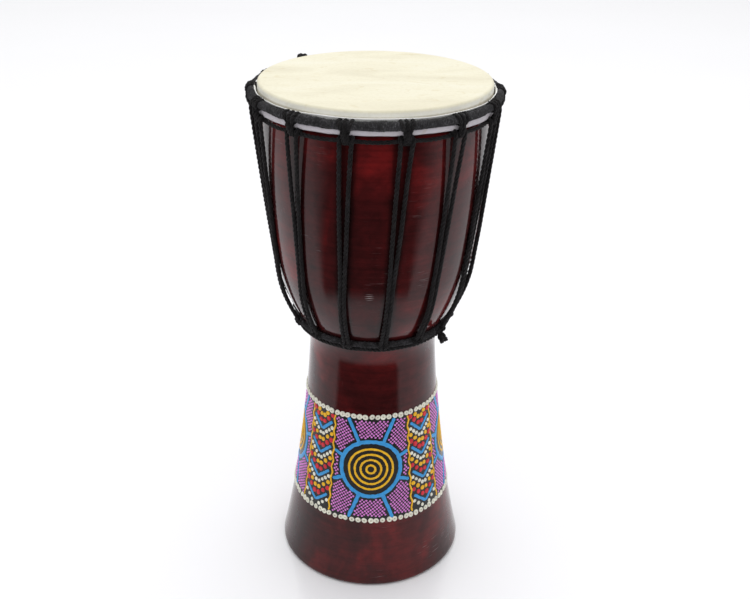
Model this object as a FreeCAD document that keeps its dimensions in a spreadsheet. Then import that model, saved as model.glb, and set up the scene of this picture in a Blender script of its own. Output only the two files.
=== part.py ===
import FreeCAD, Part
import math
import os

import Sketcher
from FreeCAD import Placement, Rotation, Vector

# A small rope-tuned goblet drum (djembe).  Millimetres, +Z up, origin at the middle of the foot's resting
# face.  The player's side faces -Y.  Pieces that repeat round the drum are built on the +X side and are
# turned about Z into their places.

HITCH_COUNT = 14

DRIVING_DIMENSIONS = [
    ("total_height", 400.0, "foot to the flat of the head"),
    ("skin_thickness", 0.8, "goatskin"),
    ("foot_radius", 75.9, "outer edge of the foot before it is rounded"),
    ("foot_bore_radius", 65.5, "mouth of the stem"),
    ("foot_round", 3.0, "rounding of the foot's outer edge"),
    ("neck_radius", 49.8, "stem at its narrowest"),
    ("neck_height", 189.3, "top of the stem's long hollow curve"),
    ("throat_bore_radius", 37.5, "narrowest part of the bore"),
    ("throat_bore_height", 188.0, "height of the throat"),
    ("waist_radius", 56.0, "where the neck's curve turns into the bowl's"),
    ("waist_height", 215.0, "height of that turn"),
    ("inner_waist_radius", 44.0, "the same turn inside"),
    ("inner_waist_height", 212.0, "height of the turn inside"),
    ("belly_radius", 75.2, "bowl where its curve tightens"),
    ("belly_height", 270.0, "height of the belly"),
    ("inner_belly_radius", 66.8, "inside of the bowl at the belly"),
    ("wall_radius", 82.8, "upright wall of the bowl"),
    ("inner_wall_radius", 74.5, "inside of the upright wall"),
    ("wall_height", 375.0, "where the wall becomes upright"),
    ("rim_round", 3.2, "rounding of the bearing edge"),
    ("fold_height", 386.0, "centre of the fold of skin round the flesh ring"),
    ("flesh_rod_radius", 1.25, "rod of the flesh ring"),
    ("fold_clearance", 0.1, "skin to flesh ring"),
    ("lip_height", 388.1, "trimmed end of the skin"),
    ("crown_ring_height", 391.2, "centre of the crown ring"),
    ("crown_ring_reach", 87.5, "centre line of the crown ring from the axis"),
    ("crown_rod_radius", 2.0, "steel rod inside the crown ring"),
    ("crown_wrap_radius", 3.0, "crown ring over its binding"),
    ("hitch_radius", 5.6, "turns of the crown hitch round the ring"),
    ("hitch_reach", 88.0, "middle of those turns from the axis"),
    ("hitch_height", 390.2, "middle of those turns"),
    ("hitch_sweep", 7.8, "degrees of the ring that a crown hitch covers"),
    ("hitch_top_width", 12.0, "crown hitch at the middle of the ring"),
    ("hitch_neck_width", 6.4, "crown hitch at its neck"),
    ("hitch_neck_height", 383.0, "lower end of the crown hitch"),
    ("hitch_neck_reach", 91.4, "outer face of the neck from the axis"),
    ("hitch_neck_depth", 4.0, "neck from its outer face to its inner face"),
    ("rope_radius", 1.6, "lacing rope"),
    ("link_rope_radius", 1.5, "rope that links the crown hitches"),
    ("link_rope_reach", 85.9, "centre line of the link rope from the axis"),
    ("link_rope_height", 380.0, "height of the link rope"),
    ("base_ring_height", 216.4, "centre of the base ring"),
    ("base_ring_reach", 58.9, "centre line of the base ring from the axis"),
    ("base_rod_radius", 1.2, "steel rod inside the base ring"),
    ("base_wrap_radius", 1.8, "base ring over its binding"),
    ("base_rope_radius", 1.5, "rope that runs under the base ring"),
    ("base_rope_reach", 57.0, "centre line of that rope from the axis"),
    ("base_rope_height", 212.6, "height of that rope"),
    ("base_hitch_radius", 3.9, "base hitch round the base ring"),
    ("base_hitch_sweep", 7.4, "degrees of the ring that a base hitch covers"),
    ("crown_first_angle", 257.7, "turn of the first crown hitch from the +X side"),
    ("base_first_angle", 251.8, "turn of the first base hitch from the +X side"),
    ("hitch_pitch", 25.7142857, "a fourteenth of a turn"),
    ("strand_gap_top", 8.0, "two strands of a run, centre to centre at the top"),
    ("strand_gap_base", 3.5, "the same at the base"),
    ("strand_clearance", 0.1, "run to the bowl where it lies along it"),
    ("strand_top_reach", 89.2, "top of a run from the axis"),
    ("strand_top_height", 381.2, "height of the top of a run"),
    ("tail_turn", 322.5, "turn of the rope's free tail"),
    ("tail_droop", 34.0, "tail below the level"),
    ("tail_reach", 59.9, "start of the tail from the axis"),
    ("tail_height", 214.6, "start of the tail"),
    ("tail_length", 7.4, "tail up to the middle of its knot"),
    ("knot_radius", 3.1, "stopper knot across"),
    ("knot_half_length", 3.8, "stopper knot along the rope"),
]
ALIASES = {alias for alias, value, meaning in DRIVING_DIMENSIONS}

doc = FreeCAD.newDocument("djembe")

# --- driving dimensions ------------------------------------------------------------------------------
sheet = doc.addObject("Spreadsheet::Sheet", "dims")
for row, (alias, value, meaning) in enumerate(DRIVING_DIMENSIONS, start=1):
    sheet.set("A%d" % row, str(value))
    sheet.setAlias("A%d" % row, alias)
    sheet.set("B%d" % row, meaning)
doc.recompute()


def dim(formula):
    """Value of a sum or difference of aliases and numbers, for geometry that is worked out in code."""
    total = 0.0
    sign = 1
    for word in formula.split():
        if word in ("+", "-"):
            sign = 1 if word == "+" else -1
        else:
            total += sign * float(sheet.get(word) if word in ALIASES else word)
    return total


def cell(formula):
    """The same formula as an expression that follows the sheet."""
    return " ".join("dims." + word if word in ALIASES else word for word in formula.split())


def primitive(kind, name, rotation=None, **formulas):
    """A Part primitive whose sizes, and place where given, follow the sheet."""
    feature = doc.addObject("Part::" + kind, name)
    if rotation is not None:
        feature.Placement = Placement(Vector(0, 0, 0), rotation)
    places = {"at_x": "Placement.Base.x", "at_y": "Placement.Base.y", "at_z": "Placement.Base.z"}
    for prop, formula in formulas.items():
        feature.setExpression(places.get(prop, prop), cell(formula))
    return feature


def fused(name, *shapes):
    feature = doc.addObject("Part::MultiFuse", name)
    feature.Shapes = list(shapes)
    return feature


def cut(label, base, tool):
    feature = doc.addObject("Part::Cut", label)
    feature.Base = base
    feature.Tool = tool
    return feature


def turn(feature, formula):
    """Turn a finished piece about Z to its place in the round."""
    feature.Placement = Placement(Vector(0, 0, 0), Rotation(Vector(0, 0, 1), 10))
    feature.setExpression("Placement.Rotation.Angle", cell(formula))


# --- turned pieces ------------------------------------------------------------------------------------
def profile_edges(points, sides):
    """Lines and arcs round a closed outline.

    sides: what leads from each corner to the next: "line"; "smooth", an arc that carries on in the
    direction of the side before it; or "leading", an arc that ends in the direction of the side after it
    """
    count = len(points)
    chords = [points[(index + 1) % count] - points[index] for index in range(count)]
    headings = [math.atan2(chord.y, chord.x) for chord in chords]
    half_turns = [0.0] * count
    for index in range(count):
        if sides[index] == "smooth":
            arriving = headings[index - 1] + half_turns[index - 1]
            half_turns[index] = math.remainder(headings[index] - arriving, 2 * math.pi)
    for index in reversed(range(count)):
        if sides[index] == "leading":
            following = (index + 1) % count
            leaving = headings[following] - half_turns[following]
            half_turns[index] = math.remainder(leaving - headings[index], 2 * math.pi)
    edges = []
    for start, chord, heading, half_turn in zip(points, chords, headings, half_turns):
        if half_turn == 0.0:
            edges.append(Part.LineSegment(start, start + chord))
        else:
            sagitta = chord.Length / 2 * math.tan(half_turn / 2)
            right = Vector(math.sin(heading), -math.cos(heading), 0)
            edges.append(Part.Arc(start, start + chord * 0.5 + right * sagitta, start + chord))
    return edges


def turned_body(label, corners, sides):
    """Body revolved about Z from a closed half section, its corners bound to the sheet."""
    body = doc.addObject("PartDesign::Body", label)
    sketch = body.newObject("Sketcher::SketchObject", label + "_section")
    plane = [item for item in body.Origin.OriginFeatures if item.Role == "XZ_Plane"][0]
    sketch.AttachmentSupport = (plane, [""])
    sketch.MapMode = "FlatFace"
    points = [Vector(dim(radius), dim(height), 0) for radius, height in corners]
    numbers = [sketch.addGeometry(edge, False) for edge in profile_edges(points, sides)]

    def end_at(number, corner):
        """Which end of a side lies on a corner: the sketch keeps every arc counter-clockwise."""
        gaps = [sketch.getPoint(number, end).distanceToPoint(corner) for end in (1, 2)]
        return 1 if gaps[0] < gaps[1] else 2

    for index, (here, point) in enumerate(zip(numbers, points)):
        before = numbers[index - 1]
        tangent = sides[index] == "smooth" or sides[index - 1] == "leading"
        kind = "Tangent" if tangent else "Coincident"
        end = end_at(here, point)
        sketch.addConstraint(Sketcher.Constraint(kind, before, end_at(before, point), here, end))
        for kind, formula in zip(("DistanceX", "DistanceY"), corners[index]):
            if dim(formula) == 0:
                axis = -2 if kind == "DistanceX" else -1
                sketch.addConstraint(Sketcher.Constraint("PointOnObject", here, end, axis))
            else:
                number = sketch.addConstraint(Sketcher.Constraint(kind, -1, 1, here, end, dim(formula)))
                sketch.setExpression("Constraints[%d]" % number, cell(formula))

    revolution = body.newObject("PartDesign::Revolution", label + "_turning")
    revolution.Profile = sketch
    revolution.ReferenceAxis = (sketch, ["V_Axis"])
    revolution.Angle = 360
    doc.recompute()
    return body


def round_rim(body, name, radius, height, size):
    """Fillet the circular edge of the given radius and height on a turned body."""
    names = []
    for number, edge in enumerate(body.Tip.Shape.Edges, start=1):
        if isinstance(edge.Curve, Part.Circle):
            off_radius = abs(edge.Curve.Radius - dim(radius))
            off_height = abs(edge.Curve.Center.z - dim(height))
            if max(off_radius, off_height) < 0.01:
                names.append("Edge%d" % number)
    base = body.Tip
    fillet = body.newObject("PartDesign::Fillet", name)
    fillet.Base = (base, names)
    fillet.setExpression("Radius", cell(size))
    doc.recompute()


# shell: one turned piece of wood, open from end to end
RIM_HEIGHT = "total_height - skin_thickness"
shell = turned_body(
    "shell",
    [
        ("foot_bore_radius", "0"),
        ("foot_radius", "0"),
        ("neck_radius", "neck_height"),
        ("waist_radius", "waist_height"),
        ("belly_radius", "belly_height"),
        ("wall_radius", "wall_height"),
        ("wall_radius", RIM_HEIGHT),
        ("inner_wall_radius", RIM_HEIGHT),
        ("inner_wall_radius", "wall_height"),
        ("inner_belly_radius", "belly_height"),
        ("inner_waist_radius", "inner_waist_height"),
        ("throat_bore_radius", "throat_bore_height"),
    ],
    ["line"] + ["leading"] * 4 + ["line"] * 3 + ["smooth"] * 4,
)
round_rim(shell, "bearing_edge", "wall_radius", RIM_HEIGHT, "rim_round")
round_rim(shell, "inner_rim", "inner_wall_radius", RIM_HEIGHT, "rim_round")
round_rim(shell, "foot_edge", "foot_radius", "0", "foot_round")

# drumhead: goatskin over the rim, down the collar and folded up outside the flesh ring
SKIN_OUTSIDE = "wall_radius + skin_thickness"
FOLD_INSIDE = SKIN_OUTSIDE + " + flesh_rod_radius + flesh_rod_radius + fold_clearance + fold_clearance"
FOLD_OUTSIDE = FOLD_INSIDE + " + skin_thickness"
ROUND_START = RIM_HEIGHT + " - rim_round"
drumhead = turned_body(
    "drumhead",
    [
        ("0", RIM_HEIGHT),
        ("wall_radius - rim_round", RIM_HEIGHT),
        ("wall_radius", ROUND_START),
        ("wall_radius", "fold_height"),
        (FOLD_OUTSIDE, "fold_height"),
        (FOLD_OUTSIDE, "lip_height"),
        (FOLD_INSIDE, "lip_height"),
        (FOLD_INSIDE, "fold_height"),
        (SKIN_OUTSIDE, "fold_height"),
        (SKIN_OUTSIDE, ROUND_START),
        ("wall_radius - rim_round", "total_height"),
        ("0", "total_height"),
    ],
    ["line", "smooth", "line", "smooth"] + ["line"] * 3 + ["smooth", "line", "smooth", "line", "line"],
)

# --- rings and the ropes that run round with them ------------------------------------------------------
flesh_ring = primitive(
    "Torus",
    "flesh_ring",
    Radius1=SKIN_OUTSIDE + " + fold_clearance + flesh_rod_radius",
    Radius2="flesh_rod_radius",
    at_z="fold_height",
)


def wrapped_ring(ring, reach, rod_radius, wrap_radius, height):
    """A steel ring, its cloth binding and the solid outside of the two, for cutting other pieces."""
    rod = primitive("Torus", ring, Radius1=reach, Radius2=rod_radius, at_z=height)
    outside = primitive("Torus", ring + "_outside", Radius1=reach, Radius2=wrap_radius, at_z=height)
    return rod, cut(ring + "_wrap", outside, rod), outside


crown_ring, crown_ring_wrap, crown_ring_outside = wrapped_ring(
    "crown_ring", "crown_ring_reach", "crown_rod_radius", "crown_wrap_radius", "crown_ring_height"
)
base_ring, base_ring_wrap, base_ring_outside = wrapped_ring(
    "base_ring", "base_ring_reach", "base_rod_radius", "base_wrap_radius", "base_ring_height"
)
crown_link_rope = primitive(
    "Torus",
    "crown_link_rope",
    Radius1="link_rope_reach",
    Radius2="link_rope_radius",
    at_z="link_rope_height",
)
base_rope = primitive(
    "Torus",
    "base_rope",
    Radius1="base_rope_reach",
    Radius2="base_rope_radius",
    at_z="base_rope_height",
)
parts = [shell, drumhead, flesh_ring, crown_ring, crown_ring_wrap, crown_link_rope]
parts += [base_ring, base_ring_wrap, base_rope]

# --- crown hitches: turns of rope round the crown ring that close to a neck below it ---------------------
ABOUT_Z = Rotation(Vector(0, 0, 1), 10)
hitch_turns = primitive(
    "Torus",
    "crown_hitch_turns",
    ABOUT_Z,
    Radius1="hitch_reach",
    Radius2="hitch_radius",
    Angle3="hitch_sweep",
    at_z="hitch_height",
)
hitch_turns.setExpression("Placement.Rotation.Angle", cell("360 - hitch_sweep / 2"))
# the neck tapers downwards: its own X lies along the ring, its Y points down and its Z to the axis
hitch_neck = primitive(
    "Wedge",
    "crown_hitch_neck",
    Rotation(Vector(0, 1, 0), Vector(0, 0, -1), Vector(-1, 0, 0), "XYZ"),
    Xmin="0 - hitch_top_width / 2",
    Xmax="hitch_top_width / 2",
    X2min="0 - hitch_neck_width / 2",
    X2max="hitch_neck_width / 2",
    Ymin="0",
    Ymax="crown_ring_height - hitch_neck_height",
    Zmin="0",
    Z2min="0",
    Zmax="hitch_neck_depth",
    Z2max="hitch_neck_depth",
    at_x="hitch_neck_reach",
    at_z="crown_ring_height",
)
# room for the collar of skin, and for its fold below the ring
collar_room = primitive(
    "Cylinder",
    "collar_room",
    Radius="crown_ring_reach - crown_wrap_radius + 0.2",
    Height="total_height - link_rope_height",
    at_z="link_rope_height",
)
fold_room = primitive(
    "Cylinder",
    "fold_room",
    Radius=FOLD_OUTSIDE + " + 0.2",
    Height="crown_ring_height - link_rope_height",
    at_z="link_rope_height",
)
hitch_blank = fused("crown_hitch_blank", hitch_turns, hitch_neck)
hitch_room = fused("crown_hitch_room", crown_ring_outside, collar_room, fold_room)

# --- base hitches: turns of rope round the base ring ---------------------------------------------------
base_turns = primitive(
    "Torus",
    "base_hitch_turns",
    ABOUT_Z,
    Radius1="base_ring_reach",
    Radius2="base_hitch_radius",
    Angle3="base_hitch_sweep",
    at_z="base_ring_height",
)
base_turns.setExpression("Placement.Rotation.Angle", cell("360 - base_hitch_sweep / 2"))
neck_room = primitive(
    "Cone",
    "neck_room",
    Radius1="waist_radius + 0.8",
    Radius2="waist_radius + 4.8",
    Height="base_ring_height - base_rope_height + base_hitch_radius + 2",
    at_z="base_rope_height - 1",
)
base_room = fused("base_hitch_room", base_ring_outside, base_rope, neck_room)

# --- lacing runs: rope up the bowl, over through a crown hitch and down again -----------------------------
STATION_ANGLES = (15.0, 22.0, 28.0)


def crossing(point, angle, other_point, other_angle):
    """Where two lines of the half section meet; an angle is measured from the upright, leaning in."""
    across, up = math.sin(math.radians(angle)), math.cos(math.radians(angle))
    other_across, other_up = math.sin(math.radians(other_angle)), math.cos(math.radians(other_angle))
    gap = other_point - point
    reach = (gap.x * other_up - gap.y * other_across) / (across * other_up - up * other_across)
    return point + Vector(across, up, 0) * reach


def strand_corners():
    """Corners of a strand in the half section, from its top down: straight off the ring, then tangents
    round the belly at the station angles."""
    clear = dim("rope_radius + strand_clearance")
    wall = Vector(dim("wall_radius"), dim("wall_height"), 0)
    belly = Vector(dim("belly_radius"), dim("belly_height"), 0)
    waist = Vector(dim("waist_radius"), dim("waist_height"), 0)
    drop = wall - belly
    upper_radius = drop.Length ** 2 / (2 * drop.x)
    upper_centre = wall - Vector(upper_radius, 0, 0)
    belly_angle = math.asin(drop.y / upper_radius)
    chord = belly - waist
    half_turn = math.atan2(chord.x, chord.y) - belly_angle
    lower_radius = chord.Length / (2 * math.sin(half_turn))
    lower_centre = belly - Vector(math.cos(belly_angle), -math.sin(belly_angle), 0) * lower_radius

    top = Vector(dim("strand_top_reach"), dim("strand_top_height"), 0)
    sight = top - upper_centre
    off_angle = math.acos((upper_radius + clear) / sight.Length) - math.atan2(sight.y, sight.x)
    corners = [top]
    line_point, line_angle = top, math.degrees(off_angle)
    for station in STATION_ANGLES:
        outward = Vector(math.cos(math.radians(station)), -math.sin(math.radians(station)), 0)
        touch = lower_centre + outward * (lower_radius + clear)
        corners.append(crossing(line_point, line_angle, touch, station))
        line_point, line_angle = touch, station
    end_height = dim("base_ring_height + base_wrap_radius")
    lean = math.tan(math.radians(line_angle))
    corners.append(Vector(line_point.x - (line_point.y - end_height) * lean, end_height, 0))
    return corners


def run_points():
    """Corners of a whole run: up one strand, across the top and down the other."""
    section = strand_corners()
    slant = math.radians(dim("base_first_angle - crown_first_angle"))
    left, right = [], []
    for corner in section:
        down = (section[0].y - corner.y) / (section[0].y - section[-1].y)
        half_gap = (dim("strand_gap_top") * (1 - down) + dim("strand_gap_base") * down) / 2
        along = Vector(math.cos(slant * down), math.sin(slant * down), 0)
        across = Vector(-along.y, along.x, 0)
        place = along * corner.x + Vector(0, 0, corner.y)
        left.append(place - across * half_gap)
        right.append(place + across * half_gap)
    return left[::-1] + right


def rounded_route(points):
    """Straight runs joined by tangent arcs, each as large as its two runs allow."""
    edges = []
    start = points[0]
    for before, corner, after in zip(points, points[1:], points[2:]):
        arriving, leaving = corner - before, after - corner
        tangent = 0.45 * min(arriving.Length, leaving.Length)
        half_turn = arriving.getAngle(leaving) / 2
        radius = tangent / math.tan(half_turn)
        arriving.normalize()
        leaving.normalize()
        inward = (leaving - arriving).normalize()
        arc_start, arc_end = corner - arriving * tangent, corner + leaving * tangent
        arc_middle = corner + inward * (radius / math.cos(half_turn) - radius)
        edges.append(Part.LineSegment(start, arc_start).toShape())
        edges.append(Part.Arc(arc_start, arc_middle, arc_end).toShape())
        start = arc_end
        print("run: arc of radius %.1f, turn of %.1f degrees" % (radius, math.degrees(2 * half_turn)))
    edges.append(Part.LineSegment(start, points[-1]).toShape())
    return Part.Wire(edges)


run_route = doc.addObject("Part::Feature", "lacing_route")
run_route.Shape = rounded_route(run_points())
first_corners = run_points()[:2]
run_section = primitive("Circle", "lacing_section", Radius="rope_radius")
first_heading = Rotation(Vector(0, 0, 1), first_corners[1] - first_corners[0])
run_section.Placement = Placement(first_corners[0], first_heading)
run_blank = doc.addObject("Part::Sweep", "lacing_blank")
run_blank.Sections = [run_section]
run_blank.Spine = (run_route, ["Edge%d" % number for number in range(1, len(run_route.Shape.Edges) + 1)])
run_blank.Solid = True
run_blank.Frenet = True
run_ends = primitive(
    "Torus",
    "lacing_end_room",
    Radius1="base_ring_reach",
    Radius2="base_hitch_radius",
    at_z="base_ring_height",
)

for index in range(HITCH_COUNT):
    crown_hitch = cut("crown_hitch_%02d" % (index + 1), hitch_blank, hitch_room)
    turn(crown_hitch, "crown_first_angle + %d * hitch_pitch" % index)
    base_hitch = cut("base_hitch_%02d" % (index + 1), base_turns, base_room)
    turn(base_hitch, "base_first_angle + %d * hitch_pitch" % index)
    run = cut("lacing_run_%02d" % (index + 1), run_blank, run_ends)
    turn(run, "crown_first_angle + %d * hitch_pitch" % index)
    parts += [crown_hitch, base_hitch, run]

# --- free tail of the lacing rope, with its stopper knot -------------------------------------------------
tail_lean = math.radians(dim("tail_droop"))
tail_start = Vector(dim("tail_reach"), 0, dim("tail_height"))
tail_end = tail_start + Vector(math.cos(tail_lean), 0, -math.sin(tail_lean)) * dim("tail_length")
tail_rotation = Rotation(Vector(0, 1, 0), 90 + dim("tail_droop"))
tail_blank = primitive("Cylinder", "tail_blank", Radius="rope_radius", Height="tail_length")
tail_blank.Placement = Placement(tail_start, tail_rotation)
knot_blank = primitive("Ellipsoid", "knot_blank", Radius1="knot_half_length", Radius2="knot_radius")
knot_blank.Placement = Placement(tail_end, tail_rotation)
rope_tail = cut("rope_tail", tail_blank, fused("tail_room", knot_blank, base_ring_outside, base_rope))
turn(rope_tail, "tail_turn")
tail_knot = primitive("Ellipsoid", "tail_knot", Radius1="knot_half_length", Radius2="knot_radius")
tail_knot.Placement = Placement(Vector(), Rotation(Vector(0, 0, 1), dim("tail_turn"))) * knot_blank.Placement
parts += [rope_tail, tail_knot]

# --- checks and export -----------------------------------------------------------------------------------
doc.recompute()
for item in doc.Objects:
    if "Invalid" in item.State or "Error" in item.State:
        raise RuntimeError("%s failed: %s" % (item.Label, item.State))
section_area = math.pi * dim("rope_radius") ** 2
fill = run_blank.Shape.Volume / (section_area * run_route.Shape.Length)
print("run: volume over section times length %.4f" % fill)
os.makedirs("parts", exist_ok=True)
for part in parts:
    shape = part.Shape
    if shape.isNull() or not shape.isValid() or len(shape.Solids) != 1:
        raise RuntimeError("%s has a bad shape" % part.Label)
    solid = shape.Solids[0]
    solid.exportStep("parts/%s.step" % part.Label)
    centre = solid.CenterOfMass
    print("%-18s %10.1f mm3  centre %.1f %.1f %.1f" % (part.Label, solid.Volume, *centre))
print(len(parts), "parts")
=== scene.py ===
import math

import bpy
import numpy as np
from mathutils import Matrix, Vector


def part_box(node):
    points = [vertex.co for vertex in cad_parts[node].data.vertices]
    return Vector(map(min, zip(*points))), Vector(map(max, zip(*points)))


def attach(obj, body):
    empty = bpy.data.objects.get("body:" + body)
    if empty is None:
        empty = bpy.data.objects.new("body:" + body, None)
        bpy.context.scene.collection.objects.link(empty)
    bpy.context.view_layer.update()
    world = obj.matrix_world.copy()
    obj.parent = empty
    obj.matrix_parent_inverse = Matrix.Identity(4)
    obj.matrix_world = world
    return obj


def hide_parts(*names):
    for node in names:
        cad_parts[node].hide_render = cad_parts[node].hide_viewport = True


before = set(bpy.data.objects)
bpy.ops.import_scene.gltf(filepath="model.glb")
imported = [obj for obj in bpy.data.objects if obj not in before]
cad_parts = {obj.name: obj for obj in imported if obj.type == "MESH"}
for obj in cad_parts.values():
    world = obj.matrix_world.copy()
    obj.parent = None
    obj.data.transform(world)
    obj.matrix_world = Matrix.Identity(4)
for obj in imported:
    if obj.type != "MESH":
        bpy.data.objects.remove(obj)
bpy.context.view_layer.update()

# The djembe as it looks: every piece is built in millimetres, then stored in metres.  Angles round the drum
# are in degrees from the side that faces -Y, growing towards +X.

MM = 0.001
RADIAN = 57.3     # degrees
RANDOM = np.random.default_rng(41)

# --- sizes of the drum, as in the CAD model -----------------------------------------------------------------
HEIGHT = 1000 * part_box("drumhead")[1][2]
SKIN = 0.8
RIM = HEIGHT - SKIN
RIM_ROUND = 3.2
FOOT_ROUND = 3.0
OUTSIDE = [(82.8, 375.0), (75.2, 270.0), (56.0, 215.0), (49.8, 189.3), (75.9, 0.0)]
INSIDE = [(74.5, 375.0), (66.8, 270.0), (44.0, 212.0), (37.5, 188.0), (65.5, 0.0)]
FOLD_HEIGHT = 386.0
LIP_HEIGHT = 388.1
CROWN_REACH, CROWN_HEIGHT, CROWN_RADIUS = CROWN = 87.5, 391.2, 3.0
LINK_REACH, LINK_HEIGHT, LINK_RADIUS = LINK = 85.9, 380.2, 1.5
BASE_REACH, BASE_HEIGHT, BASE_RADIUS = BASE = 58.9, 216.4, 1.8
BASE_ROPE_REACH, BASE_ROPE_HEIGHT, _ = BASE_ROPE = 57.2, 212.7, 1.4
ROPE_RADIUS = 1.6
HITCHES = 14
PITCH = 360.0 / HITCHES
CROWN_FIRST, BASE_FIRST = -12.3, -18.2
RUN_TOP_REACH, RUN_TOP_HEIGHT = 89.2, 381.2
GAP_TOP, GAP_BASE = 8.0, 3.3
TAIL_ANGLE = 52.5
MOUTH_BEVEL = 0.8
SEGMENTS, SKIN_SEGMENTS = 288, 360


# --- geometry helpers ---------------------------------------------------------------------------------------
def smooth_arcs(points, heading=-math.pi / 2):
    """Arcs through the points, each carrying on where the one before it was heading."""
    arcs = []
    for (r0, z0), (r1, z1) in zip(points, points[1:]):
        chord = math.atan2(z1 - z0, r1 - r0)
        half_turn = math.remainder(chord - heading, 2 * math.pi)
        radius = math.hypot(r1 - r0, z1 - z0) / (2 * math.sin(half_turn))
        centre = (r0 - radius * math.sin(heading), z0 + radius * math.cos(heading))
        arcs.append((centre, radius, heading, 2 * half_turn))
        heading = chord + half_turn
    return arcs


def arc_points(arc, count):
    (centre_r, centre_z), radius, heading, turn = arc
    angles = heading + np.linspace(0, turn, count)
    return [(centre_r + radius * math.sin(a), centre_z - radius * math.cos(a)) for a in angles]


OUTSIDE_ARCS = smooth_arcs(OUTSIDE)
PROFILE = np.array([point for arc in OUTSIDE_ARCS for point in arc_points(arc, 60)])[::-1]


def shell_radius(z):
    """Radius of the shell's outer face at a height."""
    return np.interp(z, PROFILE[:, 1], PROFILE[:, 0])


def ease(value, low, high):
    """From 0 at low to 1 at high, smoothly."""
    share = np.clip((value - low) / (high - low), 0, 1)
    return share * share * (3 - 2 * share)


def around(reach, degrees, z):
    """Points at a distance from the axis, an angle and a height."""
    angle = np.radians(degrees)
    return np.stack(np.broadcast_arrays(reach * np.sin(angle), -reach * np.cos(angle), z), axis=-1)


def all_round(count, full=2 * math.pi):
    """Evenly spaced angles all the way round, in radians unless full is 360."""
    return np.linspace(0, full, count, endpoint=False)


def angle_of(verts):
    return np.degrees(np.arctan2(verts[:, 0], -verts[:, 1]))


def unit(vectors):
    return vectors / np.linalg.norm(vectors, axis=1)[:, None]


def add_piece(name, verts, faces, materials, stands_for=(), face_slots=None, uv=None):
    """One piece of the drum, riding the drum's only body."""
    mesh = bpy.data.meshes.new(name)
    mesh.from_pydata((np.asarray(verts, dtype=float) * MM).tolist(), [], [tuple(face) for face in faces])
    mesh.validate()
    for material in materials if isinstance(materials, list) else [materials]:
        mesh.materials.append(material)
    if face_slots is not None:
        mesh.polygons.foreach_set("material_index", np.asarray(face_slots, dtype=np.int32))
    mesh.polygons.foreach_set("use_smooth", np.full(len(mesh.polygons), True))
    if uv is not None:
        layer = mesh.uv_layers.new(name="along")
        loop_verts = np.zeros(len(mesh.loops), dtype=np.int32)
        mesh.loops.foreach_get("vertex_index", loop_verts)
        layer.data.foreach_set("uv", np.asarray(uv, dtype=np.float32)[loop_verts].ravel())
    mesh.update()
    piece = bpy.data.objects.new(name, mesh)
    bpy.context.scene.collection.objects.link(piece)
    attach(piece, "root")
    if stands_for:
        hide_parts(*stands_for)
    return piece


def grid_faces(rows, columns, close_rows=False, close_columns=True):
    """Quads over a grid of rows by columns of points."""
    row = np.arange(rows if close_rows else rows - 1)
    column = np.arange(columns if close_columns else columns - 1)
    r, c = np.meshgrid(row, column, indexing="ij")
    r2, c2 = (r + 1) % rows, (c + 1) % columns
    quads = np.stack([r * columns + c, r * columns + c2, r2 * columns + c2, r2 * columns + c], axis=-1)
    return quads.reshape(-1, 4).tolist()


def lathe(profile, segments, closed=False):
    """Points and faces of an outline turned about Z."""
    profile = np.asarray(profile, dtype=float)
    degrees = all_round(segments, 360)
    verts = around(profile[:, 0][:, None], degrees[None, :], profile[:, 1][:, None]).reshape(-1, 3)
    return verts, grid_faces(len(profile), segments, close_rows=closed)


def lengths_along(path):
    """How far each point is along a path."""
    return np.concatenate([[0], np.cumsum(np.linalg.norm(np.diff(path, axis=0), axis=1))])


def headings(path, closed):
    """Which way a path goes at each point, of any length."""
    return np.roll(path, -1, axis=0) - np.roll(path, 1, axis=0) if closed else np.gradient(path, axis=0)


def smooth_path(points, spacing):
    """Evenly spaced points on a Catmull-Rom curve through the given ones."""
    points = np.asarray(points, dtype=float)
    padded = np.vstack([2 * points[0] - points[1], points, 2 * points[-1] - points[-2]])
    pieces = []
    steps = np.linspace(0, 1, 12, endpoint=False)[:, None]
    for p0, p1, p2, p3 in zip(padded, padded[1:], padded[2:], padded[3:]):
        bend = (2 * p0 - 5 * p1 + 4 * p2 - p3) * steps ** 2 + (3 * p1 - p0 - 3 * p2 + p3) * steps ** 3
        pieces.append(0.5 * (2 * p1 + (p2 - p0) * steps + bend))
    return even_path(np.vstack(pieces + [padded[-2][None, :]]), spacing)


def even_path(dense, spacing, closed=False):
    """The same line in equal steps."""
    lengths = lengths_along(dense)
    count = max(4, int(round(lengths[-1] / spacing)))
    stations = np.linspace(0, lengths[-1], count + 1)
    if closed:
        stations = stations[:-1]
    return np.stack([np.interp(stations, lengths, dense[:, axis]) for axis in range(3)], axis=1)


def frames_along(path, closed):
    """Two cross directions along a path, turning as little as they can."""
    tangents = unit(headings(path, closed))
    side = np.cross(tangents[0], [0.0, 0.0, 1.0])
    if np.linalg.norm(side) < 0.1:
        side = np.cross(tangents[0], [1.0, 0.0, 0.0])
    sides = np.zeros_like(path)
    for index, tangent in enumerate(tangents):
        side = side - tangent * side.dot(tangent)
        side /= np.linalg.norm(side)
        sides[index] = side
    return sides, np.cross(tangents, sides)


def tube(path, radius, sides, closed, start_at):
    """Points, faces and (along, round) coordinates of a tube."""
    side, up = frames_along(path, closed)
    angles = all_round(sides)
    ring = side[:, None, :] * np.cos(angles)[None, :, None] + up[:, None, :] * np.sin(angles)[None, :, None]
    verts = (path[:, None, :] + ring * radius).reshape(-1, 3)
    faces = grid_faces(len(path), sides, close_rows=closed)
    along = start_at + lengths_along(path)
    uv = np.stack(np.broadcast_arrays(along[:, None], angles[None, :] / (2 * math.pi)), axis=-1)
    if not closed:
        last = (len(path) - 1) * sides
        faces += [list(range(sides))[::-1], list(range(last, last + sides))]
    return verts, faces, uv.reshape(-1, 2)


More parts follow.
